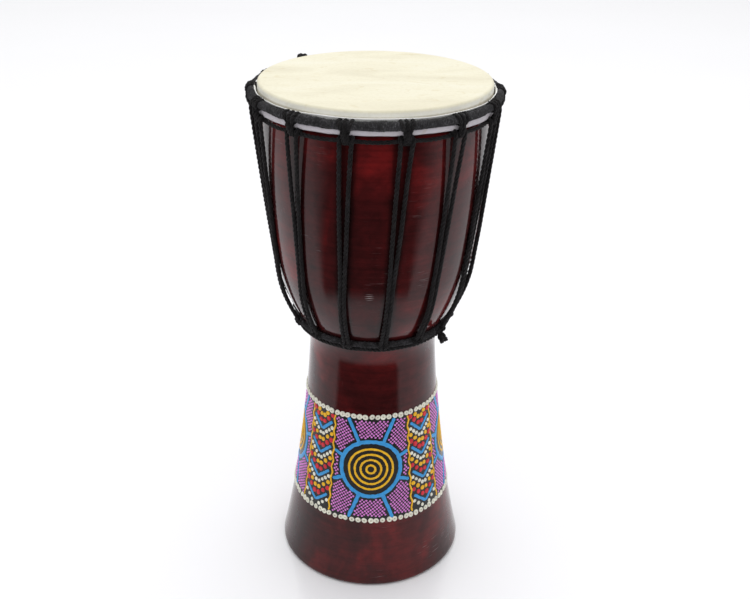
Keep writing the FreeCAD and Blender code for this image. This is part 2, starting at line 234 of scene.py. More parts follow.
def join(meshes):
    """Several (points, faces, uv) as one."""
    verts, faces, uvs, offset = [], [], [], 0
    for mesh_verts, mesh_faces, mesh_uv in meshes:
        verts.append(mesh_verts)
        faces += [[index + offset for index in face] for face in mesh_faces]
        uvs.append(mesh_uv)
        offset += len(mesh_verts)
    return np.vstack(verts), faces, np.vstack(uvs)


STRANDS, STRAND_SIDES = 3, 8
STRAND_SHIFT = 17.0     # how far apart strands are in their fibres' texture


def twisted_rope(path, radius, lay, closed=False, phase=0.0):
    """Strands laid round each other along a path; lay is the length of one full turn."""
    side, up = frames_along(path, closed)
    along = lengths_along(path)
    if closed:
        length = along[-1] + np.linalg.norm(path[0] - path[-1])
        twist = 2 * math.pi * round(length / lay)
        # a closed path brings its cross directions back turned; the lay takes the difference up
        carried = math.atan2(side[-1].dot(up[0]), side[-1].dot(side[0]))
        turn = along / length * (twist - carried)
    else:
        turn = along / lay * 2 * math.pi
    strand_radius = radius * 0.5
    reach = radius - strand_radius * 0.98
    meshes = []
    for strand in range(STRANDS):
        angle = turn + phase + strand * 2 * math.pi / STRANDS
        offset = side * np.cos(angle)[:, None] + up * np.sin(angle)[:, None]
        meshes.append(tube(path + offset * reach, strand_radius, STRAND_SIDES, closed, STRAND_SHIFT * strand))
    return join(meshes)


# --- materials ----------------------------------------------------------------------------------------------
GLINT_PLACE = tuple(around(float(shell_radius(263.0)), -2.0, 263.0) * MM)     # where a painted glint of light sits on the turning ridges, low on the bowl


class Nodes:
    """A material and short ways to add and link its nodes."""
    def __init__(self, name):
        self.material = bpy.data.materials.new(name)
        self.material.use_nodes = True
        self.tree = self.material.node_tree
        self.shader = self.tree.nodes["Principled BSDF"]
        self.place = self.add("ShaderNodeTexCoord").outputs["Object"]

    def feed(self, value, socket):
        """A socket's value: another node's output, a colour or a number."""
        if isinstance(value, bpy.types.NodeSocket):
            self.tree.links.new(value, socket)
        else:
            socket.default_value = (*value, 1.0) if socket.type == "RGBA" else value

    def add(self, kind, **settings):
        node = self.tree.nodes.new(kind)
        for name, value in settings.items():
            if hasattr(node, name):
                setattr(node, name, value)
            else:
                self.feed(value, node.inputs[name.replace("_", " ")])
        return node

    def shade(self, **values):
        for name, value in values.items():
            self.feed(value, self.shader.inputs[name.replace("_", " ")])

    def uv(self):
        return self.add("ShaderNodeUVMap", uv_map="along").outputs["UV"]

    def part(self, vector, axis):
        return self.add("ShaderNodeSeparateXYZ", Vector=vector).outputs[axis]

    def scaled(self, factors, source=None):
        return self.add("ShaderNodeMapping", Scale=factors, Vector=source or self.place).outputs["Vector"]

    def noise(self, vector, scale=1.0, detail=4.0, roughness=0.55, distortion=0.0):
        return self.add("ShaderNodeTexNoise", Vector=vector, Scale=scale, Detail=detail, Roughness=roughness,
                        Distortion=distortion).outputs["Fac"]

    def ramp(self, value, stops):
        node = self.add("ShaderNodeValToRGB", Fac=value)
        elements = node.color_ramp.elements
        while len(elements) < len(stops):
            elements.new(0.5)
        for element, (position, colour) in zip(elements, stops):
            element.position = position
            element.color = (*colour, 1.0)
        return node.outputs["Color"]

    def spread(self, value, low, high, source=(0.0, 1.0)):
        return self.add("ShaderNodeMapRange", Value=value, From_Min=source[0], From_Max=source[1],
                        To_Min=low, To_Max=high).outputs["Result"]

    def sum(self, first, second):
        node = self.add("ShaderNodeMath", operation="ADD")
        self.feed(first, node.inputs[0])
        self.feed(second, node.inputs[1])
        return node.outputs["Value"]

    def mix(self, factor, first, second, blend="MIX"):
        node = self.add("ShaderNodeMix", data_type="RGBA", blend_type=blend)
        for value, socket in ((factor, node.inputs[0]), (first, node.inputs[6]), (second, node.inputs[7])):
            self.feed(value, socket)
        return node.outputs[2]

    def times(self, first, second):
        return self.mix(1.0, first, second, "MULTIPLY")

    def bump(self, height, strength, distance, onto=None, coat=False):
        node = self.add("ShaderNodeBump", Strength=strength, Distance=distance, Height=height)
        if onto is not None:
            self.feed(onto, node.inputs["Normal"])
        self.shade(Normal=node.outputs["Normal"])
        if coat:
            self.shade(Coat_Normal=node.outputs["Normal"])
        return node.outputs["Normal"]


WHITE = (1.0, 1.0, 1.0)


def lacquer():
    """Dark red lacquer, redder in clouds and near the rim, with turning lines, rubs and scratches; a painted
    glint on the turning ridges low on the bowl, and painted shade beside the ropes and the base ring.
    """
    m = Nodes("lacquered_mahogany")
    clouds = m.noise(m.scaled((16, 16, 10)), detail=3, roughness=0.5, distortion=0.9)
    mottle = m.noise(m.scaled((90, 90, 130)), detail=5, roughness=0.65, distortion=0.5)
    grain = m.noise(m.scaled((7, 7, 330)), detail=5, roughness=0.6, distortion=0.3)
    height = m.part(m.place, "Z")
    duller = m.sum(clouds, m.spread(height, 0.0, -0.045, source=(0.27, 0.32)))
    redder = m.sum(duller, m.spread(height, 0.0, 0.080, source=(0.335, 0.378)))
    body = m.ramp(redder, [(0.34, (0.030, 0.0030, 0.0034)), (0.50, (0.058, 0.0042, 0.0047)),
                           (0.63, (0.125, 0.0062, 0.0067)), (0.77, (0.250, 0.0100, 0.0100))])
    spots = m.ramp(mottle, [(0.32, (0.66, 0.70, 0.70)), (0.55, WHITE), (0.75, (1.32, 1.1, 1.1))])
    lines = m.ramp(grain, [(0.34, (0.74, 0.74, 0.74)), (0.60, WHITE), (0.78, (1.22, 1.1, 1.1))])
    turned = m.times(m.times(body, spots), lines)
    rubs = m.noise(m.scaled((70, 70, 1100)), detail=3)
    patches = m.noise(m.scaled((24, 24, 24)), detail=2)
    rubbed = m.times(m.spread(rubs, 0.0, 0.22, source=(0.62, 0.70)),
                     m.spread(patches, 0.0, 1.0, source=(0.58, 0.70)))
    # painted glint: pale stripes on the turning ridges, fading out round one spot low on the bowl, stand in
    # for a reflected light
    from_glint = m.add("ShaderNodeVectorMath", operation="DISTANCE")
    m.feed(m.place, from_glint.inputs[0])
    m.feed(GLINT_PLACE, from_glint.inputs[1])
    ridges = m.add("ShaderNodeTexWave", bands_direction="Z", Scale=190.0, Distortion=2.5, Detail=2.0,
                   Vector=m.place)
    painted_glint = m.times(m.spread(ridges.outputs["Fac"], 0.0, 0.9, source=(0.72, 0.98)),
                      m.spread(from_glint.outputs["Value"], 1.0, 0.0, source=(0.0005, 0.0038)))
    pale = m.mix(m.mix(1.0, rubbed, painted_glint, "ADD"), turned, (0.46, 0.37, 0.37))
    # painted shade beside the ropes and the base ring, from the uv's first coordinate
    painted_rope_shade = m.part(m.uv(), "X")
    m.shade(Base_Color=m.mix(painted_rope_shade, pale, m.times(pale, (0.30, 0.45, 0.45))),
            Roughness=m.spread(grain, 0.40, 0.55),
            Coat_Weight=1.0, Coat_Roughness=0.07, Coat_IOR=1.35, Specular_IOR_Level=0.05)
    waves = m.noise(m.scaled((14, 14, 45)), detail=2)
    peel = m.noise(m.place, 240.0, detail=2)
    scratches = m.noise(m.scaled((900, 900, 160)), detail=2, roughness=0.4)
    nicks = m.spread(scratches, 1.0, 0.0, source=(0.72, 0.80))
    soft = m.bump(waves, 0.10, 0.001, coat=True)
    softer = m.bump(peel, 0.07, 0.0002, onto=soft, coat=True)
    m.bump(nicks, 0.25, 0.0002, onto=softer, coat=True)
    return m.material


def raw_wood():
    """Unlacquered inside of the shell, with gouge and turning marks."""
    m = Nodes("raw_mahogany")
    grain = m.noise(m.scaled((18, 18, 160)), detail=7, roughness=0.65, distortion=0.8)
    m.shade(Base_Color=m.ramp(grain, [(0.25, (0.10, 0.036, 0.022)), (0.55, (0.20, 0.080, 0.045)),
                                      (0.8, (0.29, 0.135, 0.080))]), Roughness=0.82)
    m.bump(m.noise(m.scaled((30, 30, 420)), detail=3), 0.5, 0.0006)
    return m.material


def goatskin():
    """Shaved pale skin: faint clouds, streaks and pores; the collar a little darker than the top and darker
    still just behind the raw edge, both painted shade; greyer in the fold.
    """
    m = Nodes("goatskin")
    clouds = m.noise(m.scaled((13, 34, 13)), distortion=0.8)
    fine = m.noise(m.place, 420.0, detail=5)
    pores = m.noise(m.place, 1500.0, detail=2)
    blots = m.noise(m.scaled((70, 110, 70)), detail=3, distortion=1.2)
    body = m.ramp(clouds, [(0.30, (0.745, 0.700, 0.535)), (0.52, (0.815, 0.775, 0.605)),
                           (0.72, (0.84, 0.81, 0.665))])
    spots = m.ramp(fine, [(0.30, (0.95, 0.94, 0.91)), (0.55, WHITE)])
    stains = m.ramp(blots, [(0.24, (0.90, 0.86, 0.76)), (0.40, WHITE)])
    marks = m.times(spots, stains)
    height = m.part(m.place, "Z")
    past_rim = m.spread(height, 0.0, 1.0, source=(0.3992, 0.3975))
    shade_behind_edge = m.spread(height, 0.0, 1.0, source=(0.3961, 0.3948))
    under_ring = m.spread(height, 0.0, 1.0, source=(0.3915, 0.3895))
    # painted shade: the collar a little darker than the top, and darker again just behind the raw edge
    collar = m.times(marks, (0.90, 0.89, 0.81))
    collar = m.mix(shade_behind_edge, collar, m.times(collar, (0.60, 0.57, 0.52)))
    lower = m.mix(under_ring, collar, m.times(marks, (0.56, 0.53, 0.57)))
    m.shade(Base_Color=m.mix(past_rim, m.times(m.times(body, spots), stains), lower),
            Roughness=m.spread(fine, 0.42, 0.60), Specular_IOR_Level=0.35)
    m.bump(pores, 0.18, 0.0003, onto=m.bump(clouds, 0.15, 0.002))
    return m.material


def rawhide():
    """The skin's raw edge: dried white, with short fibres across the cut."""
    m = Nodes("rawhide_edge")
    fibres = m.noise(m.scaled((260, 260, 900)), roughness=0.6)
    m.shade(Base_Color=m.ramp(fibres, [(0.3, (0.86, 0.85, 0.82)), (0.65, (0.95, 0.95, 0.94))]),
            Roughness=0.65, Specular_IOR_Level=0.3)
    m.bump(fibres, 0.5, 0.0003)
    return m.material


def steel():
    """Drawn steel rod, with die lines and a few dull spots."""
    m = Nodes("drawn_steel")
    lines = m.noise(m.scaled((300, 300, 2200)))
    spots = m.noise(m.place, 160.0, roughness=0.7)
    bare = m.ramp(lines, [(0.3, (0.42, 0.42, 0.43)), (0.7, (0.58, 0.58, 0.59))])
    dull = m.ramp(spots, [(0.55, WHITE), (0.72, (0.55, 0.46, 0.40))])
    m.shade(Base_Color=m.times(bare, dull), Roughness=m.spread(spots, 0.28, 0.55), Metallic=1.0)
    m.bump(lines, 0.2, 0.0001)
    return m.material


def black_fibre(name, dark, light, across, along, speck_paleness):
    """Black cord or rope: fibres run along each strand, some paler with wear and dust, and fine pale specks
    all over;
    the last argument is how pale those specks are."""
    m = Nodes(name)
    fibres = m.noise(m.scaled((along, across, 1), m.uv()), detail=5, roughness=0.7, distortion=0.5)
    dust = m.noise(m.place, 130.0)
    tone = m.ramp(fibres, [(0.30, dark), (0.62, light)])
    worn = m.ramp(dust, [(0.42, WHITE), (0.75, (1.9, 1.9, 1.95))])
    fine = m.noise(m.place, 900.0, detail=2, roughness=0.6)
    specks = m.ramp(fine, [(0.50, WHITE), (0.68, (speck_paleness, speck_paleness, speck_paleness))])
    m.shade(Base_Color=m.times(m.times(tone, worn), specks),
            Roughness=0.75, Specular_IOR_Level=0.18, Sheen_Weight=0.06, Sheen_Roughness=0.4)
    m.bump(fibres, 0.9, 0.00045)
    return m.material


def paint(name, colour, spread=0.25, gloss=0.25):
    """Thick hand-laid paint: uneven in tone, slightly ridged, with painted shade darkening the hollow of a
    dot.
    """
    m = Nodes(name)
    uneven = m.noise(m.place, 320.0)
    dark = tuple(channel * (1 - spread) for channel in colour)
    light = tuple(min(1.0, channel * (1 + spread * 0.5)) for channel in colour)
    tone = m.ramp(uneven, [(0.3, dark), (0.7, light)])
    # painted shade in the hollow of a dimpled dot
    hollow = m.part(m.uv(), "X")
    m.shade(Base_Color=m.mix(hollow, tone, m.times(tone, (0.60, 0.58, 0.53))),
            Roughness=0.45, Specular_IOR_Level=0.3, Coat_Weight=gloss, Coat_Roughness=0.08, Coat_IOR=1.35)
    m.bump(uneven, 0.35, 0.0004)
    return m.material


LACQUER = lacquer()
RAW_WOOD = raw_wood()
GOATSKIN = goatskin()
ROPE = black_fibre("black_rope", (0.0038, 0.0036, 0.0038), (0.0125, 0.0110, 0.0115), 9.0, 0.9, 2.2)
BINDING = black_fibre("black_binding", (0.0070, 0.0066, 0.0070), (0.030, 0.029, 0.031), 40.0, 2.2, 3.2)
RAWHIDE = rawhide()
STEEL = steel()
PAINT_BLACK = paint("paint_black", (0.012, 0.012, 0.0125), gloss=0.45)
PAINT_WHITE = paint("paint_cream", (0.90, 0.88, 0.76))
PAINT_YELLOW = paint("paint_yellow", (0.97, 0.52, 0.015), spread=0.15)
PAINT_RED = paint("paint_red", (0.70, 0.020, 0.040))
PAINT_BLUE = paint("paint_blue", (0.045, 0.35, 0.78), spread=0.15)
PAINT_ORCHID = paint("paint_orchid", (0.80, 0.26, 0.76), spread=0.15)

for steel_ring in ("flesh_ring", "crown_ring", "base_ring"):
    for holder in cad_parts[steel_ring].material_slots:
        holder.material = STEEL


# --- shell --------------------------------------------------------------------------------------------------
def shade_near_ropes(verts):
    """How close the lacquer is to a rope or to the base ring, from 0 to 1: painted shade, darker and less red
    there.
    """
    z = verts[:, 2]
    down = np.clip((RUN_TOP_HEIGHT - z) / (RUN_TOP_HEIGHT - BASE_HEIGHT), 0, 1)
    from_run = angle_of(verts) - CROWN_FIRST - (BASE_FIRST - CROWN_FIRST) * down
    from_run = np.remainder(from_run + PITCH / 2, PITCH) - PITCH / 2
    strand = GAP_BASE / 2 + (GAP_TOP - GAP_BASE) / 2 * np.clip(1 - down / 0.62, 0, 1)
    from_strand = np.abs(np.abs(np.radians(from_run) * shell_radius(z)) - strand)
    beside_run = ease(from_strand, 5.0, 1.5) * (z > BASE_HEIGHT)
    return np.maximum(beside_run, ease(np.abs(z - BASE_HEIGHT), 7.5, 3.5))


def rounding(centre_r, centre_z, radius, start, end, count=7):
    """Points on a round, its angles measured from the level outwards."""
    angles = np.radians(np.linspace(start, end, count))
    return [(centre_r + radius * math.cos(a), centre_z + radius * math.sin(a)) for a in angles]


def chained_arcs(arcs, counts):
    """Points along arcs that follow each other, each shared end only once."""
    points = []
    for arc, count in zip(arcs, counts):
        points += arc_points(arc, count)[1 if points else 0:]
    return points


def build_shell():
    """The wooden shell, lacquered outside, its foot and rim rounded and the mouth's edge broken."""
    wall, inner_wall = OUTSIDE[0][0], INSIDE[0][0]
    outer = rounding(wall - RIM_ROUND, RIM - RIM_ROUND, RIM_ROUND, 90, 0)
    outer += chained_arcs(OUTSIDE_ARCS, (40, 24, 16, 60))
    outer = [point for point in outer if point[1] > FOOT_ROUND + 0.5]
    foot_reach = float(shell_radius(FOOT_ROUND)) - FOOT_ROUND
    outer += rounding(foot_reach, FOOT_ROUND, FOOT_ROUND, 6, -90, 8)
    inner = chained_arcs(smooth_arcs(INSIDE), (30, 20, 12, 40))[::-1]
    inner[0] = (inner[0][0] + MOUTH_BEVEL, 0.0)
    inner.insert(1, (INSIDE[-1][0], 0.9))
    inner += rounding(inner_wall + RIM_ROUND, RIM - RIM_ROUND, RIM_ROUND, 180, 90)
    verts, faces = lathe(outer + inner, SEGMENTS, closed=True)
    slots = [0 if index // SEGMENTS < len(outer) - 1 else 1 for index in range(len(faces))]
    # the uv's first coordinate carries the painted shade beside the ropes
    uv = np.column_stack([shade_near_ropes(verts), np.zeros(len(verts))])
    add_piece("shell_visual", verts, faces, [LACQUER, RAW_WOOD], ["shell"], slots, uv)


# --- drumhead -----------------------------------------------------------------------------------------------
def build_drumhead():
    """Skin over the rim and down the collar, folded up outside the flesh ring, its trimmed edge uneven."""
    wall = OUTSIDE[0][0]
    shoulder, fold_half = 2.3, 1.35
    under_gap = 0.02
    fold_reach = wall + SKIN + fold_half
    top = [(r, HEIGHT) for r in (0.5, 6, 14, 24, 34, 44, 54, 62, 68, 73, 77, 79.5)]
    top += rounding(wall + SKIN - shoulder, HEIGHT - shoulder, shoulder, 90, 0, 9)
    top += [(wall + SKIN, z) for z in (396.0, 394.5, 392.5, 390.5, 388.5, 387.0)]
    inner_fold = rounding(fold_reach, FOLD_HEIGHT, fold_half, 180, 360, 9)
    top += inner_fold
    lip = [(fold_reach + fold_half, z) for z in (386.8, 387.5, LIP_HEIGHT)]
    lip += [(fold_reach + fold_half + SKIN, z) for z in (LIP_HEIGHT, 387.5, 386.8)]
    outer_fold = rounding(fold_reach, FOLD_HEIGHT, fold_half + SKIN, 0, -180, 13)
    under = outer_fold + [(wall + under_gap, z) for z in (388.0, 391.0, 394.0)]
    under += rounding(wall - RIM_ROUND, RIM - RIM_ROUND, RIM_ROUND + under_gap, 0, 90, 9)
    under += [(r, RIM + under_gap) for r in (76, 70, 60, 45, 30, 15, 0.5)]
    outline = top + lip + under
    verts, faces = lathe(outline, SKIN_SEGMENTS)
    verts = verts.reshape(len(outline), SKIN_SEGMENTS, 3)
    angles = np.radians(all_round(SKIN_SEGMENTS, 360))
    sway = 0.30 * np.sin(5 * angles + 0.7) + 0.22 * np.sin(13 * angles + 2.0) + 0.12 * np.sin(37 * angles)
    sway += 0.10 * RANDOM.standard_normal(SKIN_SEGMENTS)
    under_from = len(top) + len(lip)
    for row in range(len(top), under_from):
        share = (outline[row][1] - FOLD_HEIGHT) / (LIP_HEIGHT - FOLD_HEIGHT)
        verts[row, :, 2] += (sway - 0.35) * share
    # the fold hangs lower where the lacing pulls less, on both sides of the front
    slack = 0
    for side in (-64, 62):
        slack = slack + np.exp(-(np.remainder(np.degrees(angles) - side + 180, 360) - 180) ** 2 / 650)
    inside_rows = range(len(top) - len(inner_fold), len(top))
    outside_rows = range(under_from, under_from + len(outer_fold))
    for row in [*inside_rows, *outside_rows]:
        drop = np.clip((FOLD_HEIGHT + 0.6 - outline[row][1]) / 2.2, 0, 1)
        verts[row, :, 2] += (0.45 * sway - 1.5 * slack) * drop
    verts = verts.reshape(-1, 3)
    top_pole, under_pole = len(verts), len(verts) + 1
    verts = np.vstack([verts, [[0, 0, HEIGHT], [0, 0, RIM + under_gap]]])
    last = (len(outline) - 1) * SKIN_SEGMENTS
    ring = [(i, (i + 1) % SKIN_SEGMENTS) for i in range(SKIN_SEGMENTS)]
    faces += [[top_pole, after, i] for i, after in ring]
    faces += [[under_pole, last + i, last + after] for i, after in ring]
    skin = add_piece("drumhead_skin", verts, faces, GOATSKIN, ["drumhead"])
    # cut round, 206 mm across, from a shaved hide
    build_skin_edge()


def build_skin_edge():
    """The skin's trimmed raw edge, which stands up between the collar and the crown ring."""
    section = [(84.25, 390.5), (84.22, 392.2), (84.32, 393.3), (84.6, 394.2), (85.1, 394.9)]
    thick = [(r + 0.55, z - 0.30) for r, z in section[::-1]]
    outline = np.array(section + thick)
    degrees = all_round(SKIN_SEGMENTS, 360)
    angles = np.radians(degrees)
    front = np.cos(angles)
    flare = 0.30 + 0.20 * front + 0.16 * np.sin(7 * angles + 1.0) + 0.10 * np.sin(19 * angles)
    flare += 0.08 * RANDOM.standard_normal(SKIN_SEGMENTS)
    lift = 0.85 * front - 0.15 + 0.25 * np.sin(4 * angles + 2) + 0.15 * np.sin(11 * angles)
    rise = np.clip((outline[:, 1] - 392.0) / 3.1, 0, 1)
    reach = outline[:, 0][:, None] + (rise ** 2)[:, None] * flare[None, :] * 1.3
    height = outline[:, 1][:, None] + rise[:, None] * lift[None, :]
    verts = around(reach, degrees[None, :], height).reshape(-1, 3)
    faces = grid_faces(len(outline), SKIN_SEGMENTS, close_rows=True)
    return add_piece("drumhead_edge", verts, faces, RAWHIDE)


build_drumhead()


# --- bound rings --------------------------------------------------------------------------------------------
def seat_unevenly(verts):
    """The crown ring and all on it sit a little higher behind the left."""
    away = np.remainder(angle_of(verts) + 112 + 180, 360) - 180
    share = np.exp(-(away / 38) ** 2) * np.clip((verts[:, 2] - 382) / 6, 0, 1)
    return verts + np.column_stack([np.zeros((len(verts), 2)), 0.9 * share])


def bound_ring(name, node, reach, height, radius, turn_width, lift, slope):
    """A ring wound closely with cord: each turn is a ridge across the ring, no two quite alike."""
    turns = int(2 * math.pi * reach / turn_width)
    per_turn, rows = 6, 20
    columns = turns * per_turn
    width = 1 + 0.22 * RANDOM.standard_normal(turns)
    edges = np.concatenate([[0], np.cumsum(width)]) / width.sum()
    wound = np.arange(columns) / per_turn
    degrees = np.interp(wound, np.arange(turns + 1), edges) * 360
    proud = np.repeat(RANDOM.normal(0, 0.14, turns), per_turn)
    proud = (proud + np.roll(proud, 1) + np.roll(proud, -1)) / 3
    ridge = np.abs(np.sin(math.pi * (np.arange(columns) % per_turn) / per_turn)) ** 0.7
    swell = radius + lift * (ridge - 0.6) + proud
    swell += 0.14 * np.sin(np.radians(degrees) * 9 + 1.0) + 0.10 * np.sin(np.radians(degrees) * 23)
    section = all_round(rows)
    slant = slope * turn_width / reach * RADIAN * np.sin(section)
    out = reach + swell[:, None] * np.cos(section)[None, :]
    up = height + swell[:, None] * np.sin(section)[None, :]
    verts = seat_unevenly(around(out, degrees[:, None] + slant[None, :], up).reshape(-1, 3))
    uv = np.stack(np.broadcast_arrays(section[None, :] * radius, wound[:, None]), axis=-1)
    add_piece(name, verts, grid_faces(columns, rows, close_rows=True), BINDING, [node],
              uv=uv.reshape(-1, 2))


bound_ring("crown_ring_binding", "crown_ring_wrap", CROWN_REACH, CROWN_HEIGHT, CROWN_RADIUS, 1.3, 0.45, 0.5)
bound_ring("base_ring_binding", "base_ring_wrap", BASE_REACH, BASE_HEIGHT, BASE_RADIUS + 0.2, 3.2, 0.9, 2.4)


# --- ropes --------------------------------------------------------------------------------------------------
def add_rope(name, mesh, stands_for=()):
    verts, faces, uv = mesh
    add_piece(name, verts, faces, ROPE, stands_for, uv=uv)


def press_round(verts, ring, firm, soft):
    """Push rope out of a ring, and flatten it where it passes over, behind and under the ring.

    ring is (reach, height, radius); firm is what is left of the rope's thickness there, soft what is left on
    the outer side
    """
    reach, height, radius = ring
    from_axis = np.hypot(verts[:, 0], verts[:, 1])
    out, up = from_axis - reach, verts[:, 2] - height
    distance = np.maximum(np.hypot(out, up), 1e-6)
    outer_side = np.clip((out / distance - 0.15) / 0.6, 0, 1)
    outer_side = outer_side * np.clip(1.2 - np.maximum(up / distance, 0), 0, 1)
    keep = firm + (soft - firm) * outer_side
    proud = np.maximum(distance - radius, 0.02)
    near = np.clip((radius * 2.6 - distance) / radius, 0, 1)
    new_distance = radius + proud * (keep * near + (1 - near))
    new_distance = np.where(distance < radius * 2.6, new_distance, distance)
    scale = (reach + out / distance * new_distance) / from_axis
    return np.column_stack([verts[:, :2] * scale[:, None], height + up / distance * new_distance])


def push_outwards(verts, least_reach):
    """Keep rope off a wall whose reach may depend on height."""
    from_axis = np.hypot(verts[:, 0], verts[:, 1])
    scale = np.maximum(from_axis, least_reach) / from_axis
    return np.column_stack([verts[:, :2] * scale[:, None], verts[:, 2]])


def set_round(local, centre):
    """Points given as (along the ring, reach, height) put at an angle round the drum."""
    local = np.asarray(local, dtype=float)
    turned = centre + np.degrees(np.arctan2(local[:, 0], local[:, 1]))
    return around(np.hypot(local[:, 1], local[:, 0]), turned, local[:, 2])


def collar_reach(heights):
    """Outside of the skin by height: collar above, fold below, bare wall under the fold."""
    wall = OUTSIDE[0][0]
    fold = wall + SKIN + 2.7 + SKIN
    return np.where(heights > 389.0, wall + SKIN, np.where(heights > 383.7, fold, wall)) + 0.04


def past_ring(ring, distance, angle):
    """Reach and height of a point at a distance and an angle from the middle of a ring's section."""
    return ring[0] + distance * math.cos(angle), ring[1] + distance * math.sin(angle)


def build_crown_hitch(index):
    """Three turns splayed round the crown ring, their ends drawn together in a neck in front of the fold."""
    rope = 1.4
    orbit = CROWN_RADIUS + rope * 0.95
    jitter = RANDOM.normal(0, 0.22, 60)
    spread = RANDOM.normal(4.25, 0.18)
    points = [(-1.0, 87.2, 378.7), (-1.2, 88.9, 380.0), (-1.4, 89.8, 383.0), (-1.9, 91.0, 386.2)]
    for turn in (-1, 0, 1):
        for step, degrees in enumerate((-42, -10, 22, 58, 95, 135, 175, 215, 250)):
            open_out = 1.0 - 0.45 * max(0.0, degrees - 90) / 160
            if degrees < 30:
                open_out = 0.50 + 0.40 * (degrees + 42) / 64
            along = turn * spread * open_out + jitter[(turn + 1) * 9 + step]
            points.append((along, *past_ring(CROWN, orbit, math.radians(degrees))))
        if turn < 1:
            middle = spread * (turn + 0.5) * 0.5
            points.append((middle, CROWN_REACH + 1.8, CROWN_HEIGHT - orbit + 0.1))
            points.append((middle + 0.5, CROWN_REACH + 3.0, CROWN_HEIGHT - orbit + 0.4))
    points += [(2.0, 89.6, 386.6), (1.6, 90.4, 384.9), (1.4, 89.8, 382.6), (1.2, 88.9, 380.0),
               (1.0, 87.2, 378.7)]
    front = [(-0.2, 91.2, 388.4), (-0.1, 91.6, 386.4), (0.0, 91.1, 384.0), (0.1, 90.2, 381.6),
             (0.0, 88.6, 379.2)]
    centre = CROWN_FIRST + PITCH * index
    turns, neck = [smooth_path(set_round(route, centre), 0.7) for route in (points, front)]
    verts, faces, uv = join([twisted_rope(turns, rope, 8.0, phase=index), twisted_rope(neck, rope, 8.0)])
    verts = press_round(verts, (CROWN_REACH, CROWN_HEIGHT, CROWN_RADIUS + 0.05), firm=0.34, soft=0.78)
    verts = press_round(verts, LINK, firm=0.6, soft=0.9)
    verts = seat_unevenly(push_outwards(verts, collar_reach(verts[:, 2])))
    add_rope("crown_hitch_rope_%02d" % (index + 1), (verts, faces, uv), ["crown_hitch_%02d" % (index + 1)])


def strand_section():
    """Heights and reaches of a strand from its top down: straight, along the bowl, then off to the ring."""
    clear = ROPE_RADIUS + 0.1
    heights = np.linspace(RUN_TOP_HEIGHT - 5, BASE_HEIGHT + 5.5, 60)
    slope = np.gradient(shell_radius(heights), heights)
    lying = shell_radius(heights) + clear * np.sqrt(1 + slope ** 2)
    lean = (RUN_TOP_REACH - lying) / (RUN_TOP_HEIGHT - heights)
    touch = int(np.argmin(np.where(heights < RUN_TOP_HEIGHT - 20, lean, np.inf)))
    straight = RUN_TOP_REACH - lean[touch] * (RUN_TOP_HEIGHT - heights)
    reaches = np.where(np.arange(len(heights)) < touch, straight, lying)
    return heights, reaches + 1.6 * ease(heights, 275, 240)


def build_run(index):
    """Rope up the bowl, over and behind the link rope and down again; both ends tuck under the base ring."""
    heights, reaches = strand_section()
    down = (RUN_TOP_HEIGHT - heights) / (RUN_TOP_HEIGHT - heights[-1])
    slant = (BASE_FIRST - CROWN_FIRST) * down
    start = CROWN_FIRST + PITCH * index
    meet = RANDOM.uniform(0.56, 0.68)
    strands = []
    for side in (-1, 1):
        gap_top = GAP_TOP / 2 + RANDOM.normal(0, 0.2)
        closing = np.clip(1 - down / meet, 0, 1)
        together = GAP_BASE / 2 * (1 - 0.12 * np.clip(down - meet, 0, 1))
        wander = np.sin(down * math.pi * RANDOM.uniform(1.5, 3.0) + RANDOM.uniform(0, 6))
        wander = 0.3 * wander * down * (1 - down) * 4
        offset = side * (together + (gap_top - together) * closing) + wander
        degrees = start + slant + np.degrees(offset / reaches)
        line = around(reaches, degrees, heights)
        hook = []
        for turned in (26, 2, -22, -50, -78, -105):
            tucked = BASE_RADIUS + ROPE_RADIUS * 0.95 - 0.8 * abs(turned) / 105
            reach, height = past_ring(BASE, tucked, math.radians(turned))
            hook.append(around(reach, degrees[-1] + side * 0.2, height))
        strands.append(np.vstack([line[::4], line[-1:], np.array(hook)]))
    top = []
    round_link = LINK_RADIUS + ROPE_RADIUS * 0.95
    for side, angles in ((-1, (-20, 25, 70, 115, 165)), (1, (165, 115, 70, 25, -20))):
        for angle in np.radians(angles):
            along = side * (GAP_TOP / 2 - max(0.0, -math.cos(angle)))
            reach, height = past_ring(LINK, round_link, angle)
            top.append(around(reach, start + math.degrees(along / LINK_REACH), height))
    route = np.vstack([strands[0][::-1], np.array(top), strands[1]])
    verts, faces, uv = twisted_rope(smooth_path(route, 0.8), ROPE_RADIUS, 11.5, phase=RANDOM.uniform(0, 6))
    verts = press_round(verts, LINK, firm=0.5, soft=0.95)
    verts = press_round(verts, BASE, firm=0.6, soft=0.52)
    verts = press_round(verts, BASE_ROPE, firm=0.28, soft=0.5)
    z = verts[:, 2]
    verts = push_outwards(verts, np.where(z > 370, collar_reach(z), shell_radius(z) + 0.03))
    add_rope("lacing_rope_%02d" % (index + 1), (verts, faces, uv), ["lacing_run_%02d" % (index + 1)])


